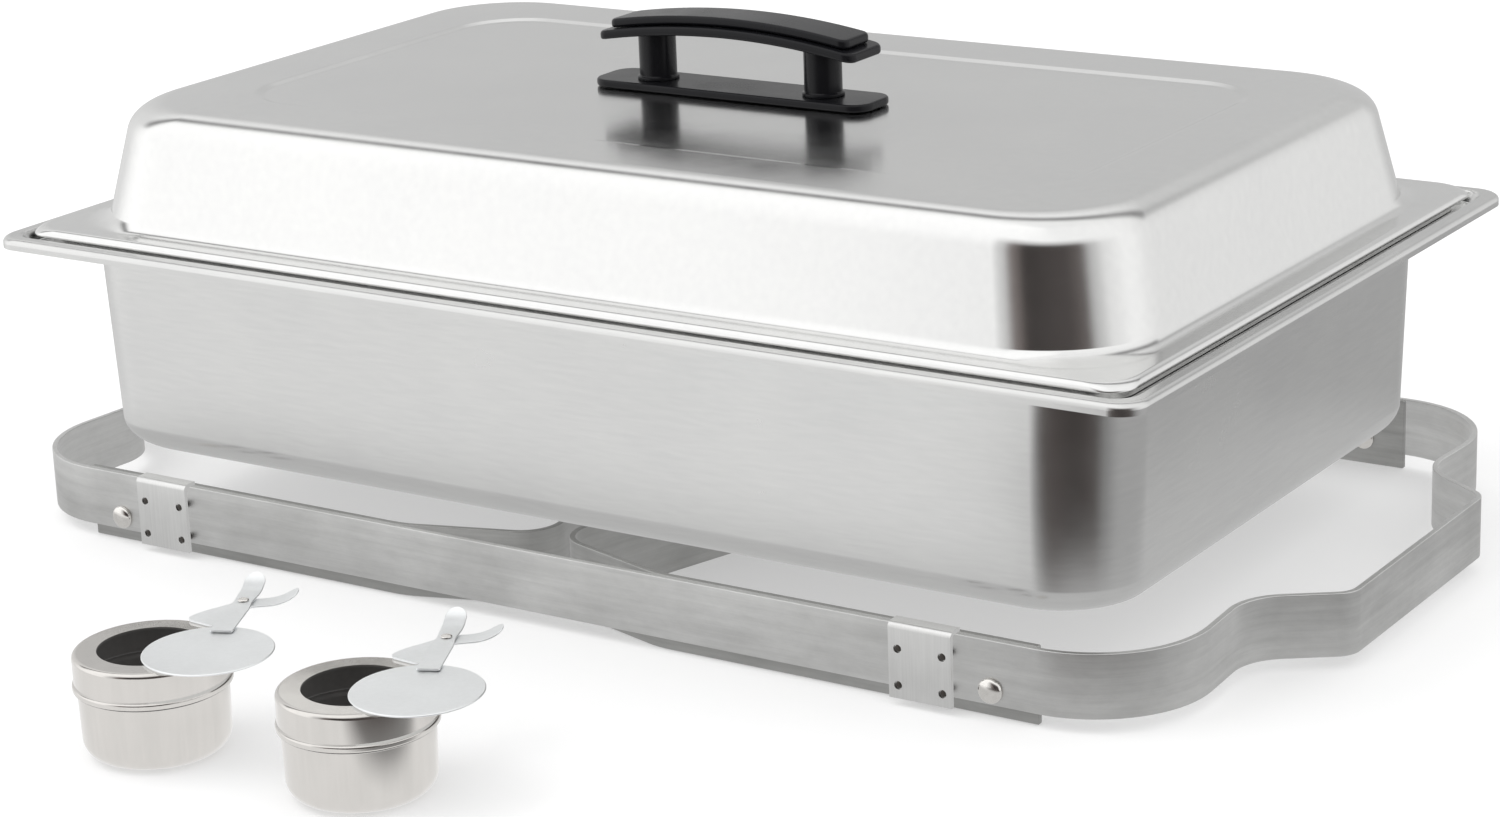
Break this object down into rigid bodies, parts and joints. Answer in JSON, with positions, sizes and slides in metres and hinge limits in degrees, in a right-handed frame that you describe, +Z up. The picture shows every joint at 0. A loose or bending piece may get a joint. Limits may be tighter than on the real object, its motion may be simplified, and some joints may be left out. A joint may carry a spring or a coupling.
{
  "type": "folding frame chafing dish",
  "caption": "Full-size buffet chafing dish: domed lid on nested food and water pans, standing on its folded band frame, with fuel holders and swinging dampers.",
  "frame": {"origin": "on the table, at the middle of the rectangle that the whole set covers", "axes": "+X along the dish to the right, +Y to the back of the dish, +Z up"},
  "size_m": [0.634, 0.5529, 0.2198],
  "materials": {
    "brushed_band": "rolled strip, brushed along its length",
    "satin_clip": "satin",
    "polished_rivet": "polished",
    "dark_stud": "dark, unpolished",
    "satin_pan": "satin",
    "mirror_lid": "bright satin, close to a mirror",
    "polished_holder": "polished",
    "pale_damper": "fine satin",
    "black_plastic": "satin moulded"
  },
  "bodies": {
    "left_cup": {"left_fuel_cup": "polished_holder"},
    "frame": {"frame_ring": "brushed_band", "front_left_bracket": "satin_clip", "front_right_bracket": "satin_clip", "back_left_bracket": "satin_clip", "back_right_bracket": "satin_clip", "front_left_pivot_rivet": "polished_rivet", "front_right_pivot_rivet": "polished_rivet", "back_left_pivot_rivet": "polished_rivet", "back_right_pivot_rivet": "polished_rivet", "front_left_stud_1": "dark_stud", "front_left_stud_2": "dark_stud", "front_left_stud_3": "dark_stud", "front_left_stud_4": "dark_stud", "front_right_stud_1": "dark_stud", "front_right_stud_2": "dark_stud", "front_right_stud_3": "dark_stud", "front_right_stud_4": "dark_stud", "back_left_stud_1": "dark_stud", "back_left_stud_2": "dark_stud", "back_left_stud_3": "dark_stud", "back_left_stud_4": "dark_stud", "back_right_stud_1": "dark_stud", "back_right_stud_2": "dark_stud", "back_right_stud_3": "dark_stud", "back_right_stud_4": "dark_stud"},
    "left_leg": {"left_leg": "brushed_band"},
    "right_leg": {"right_leg": "brushed_band"},
    "water_pan": {"water_pan": "satin_pan"},
    "food_pan": {"food_pan": "satin_pan"},
    "lid": {"lid_shell": "mirror_lid", "handle_plate": "black_plastic", "handle_lower_grip": "black_plastic", "handle_upper_grip": "black_plastic", "left_handle_post": "black_plastic", "right_handle_post": "black_plastic", "left_handle_screw": "satin_clip", "right_handle_screw": "satin_clip"},
    "left_cap": {"left_fuel_cap": "polished_holder", "left_cap_arm": "pale_damper", "left_damper_rivet": "polished_rivet"},
    "left_damper": {"left_damper_disc": "pale_damper", "left_damper_arm": "pale_damper"},
    "right_cup": {"right_fuel_cup": "polished_holder"},
    "right_cap": {"right_fuel_cap": "polished_holder", "right_cap_arm": "pale_damper", "right_damper_rivet": "polished_rivet"},
    "right_damper": {"right_damper_disc": "pale_damper", "right_damper_arm": "pale_damper"}
  },
  "joints": [
    {"name": "frame_lift", "type": "slide", "parent": "left_cup", "child": "frame", "axis": [0, 0, 1], "range_m": [0, 0.2025]},
    {"name": "left_leg_fold", "type": "hinge", "parent": "frame", "child": "left_leg", "pos_m": [-0.218, 0.0981, 0.0114], "axis": [0, 1, 0], "range_deg": [0, 90]},
    {"name": "right_leg_fold", "type": "hinge", "parent": "frame", "child": "right_leg", "pos_m": [0.218, 0.0981, 0.0114], "axis": [0, -1, 0], "range_deg": [0, 90]},
    {"name": "water_pan_lift", "type": "slide", "parent": "frame", "child": "water_pan", "axis": [0, 0, 1], "range_m": [0, 0.15]},
    {"name": "food_pan_lift", "type": "slide", "parent": "water_pan", "child": "food_pan", "axis": [0, 0, 1], "range_m": [0, 0.12]},
    {"name": "lid_lift", "type": "slide", "parent": "food_pan", "child": "lid", "axis": [0, 0, 1], "range_m": [0, 0.15]},
    {"name": "left_cap_lift", "type": "slide", "parent": "left_cup", "child": "left_cap", "axis": [0, 0, 1], "range_m": [0, 0.04]},
    {"name": "left_damper_swing", "type": "hinge", "parent": "left_cap", "child": "left_damper", "pos_m": [-0.04179, -0.1967, 0.042], "axis": [0, 0, 1], "range_deg": [-29, 24]},
    {"name": "right_cup_lift", "type": "slide", "parent": "left_cup", "child": "right_cup", "axis": [0, 0, 1], "range_m": [0, 0.1]},
    {"name": "right_cap_lift", "type": "slide", "parent": "right_cup", "child": "right_cap", "axis": [0, 0, 1], "range_m": [0, 0.04]},
    {"name": "right_damper_swing", "type": "hinge", "parent": "right_cap", "child": "right_damper", "pos_m": [0.05221, -0.1912, 0.042], "axis": [0, 0, 1], "range_deg": [-29, 24]}
  ]
}
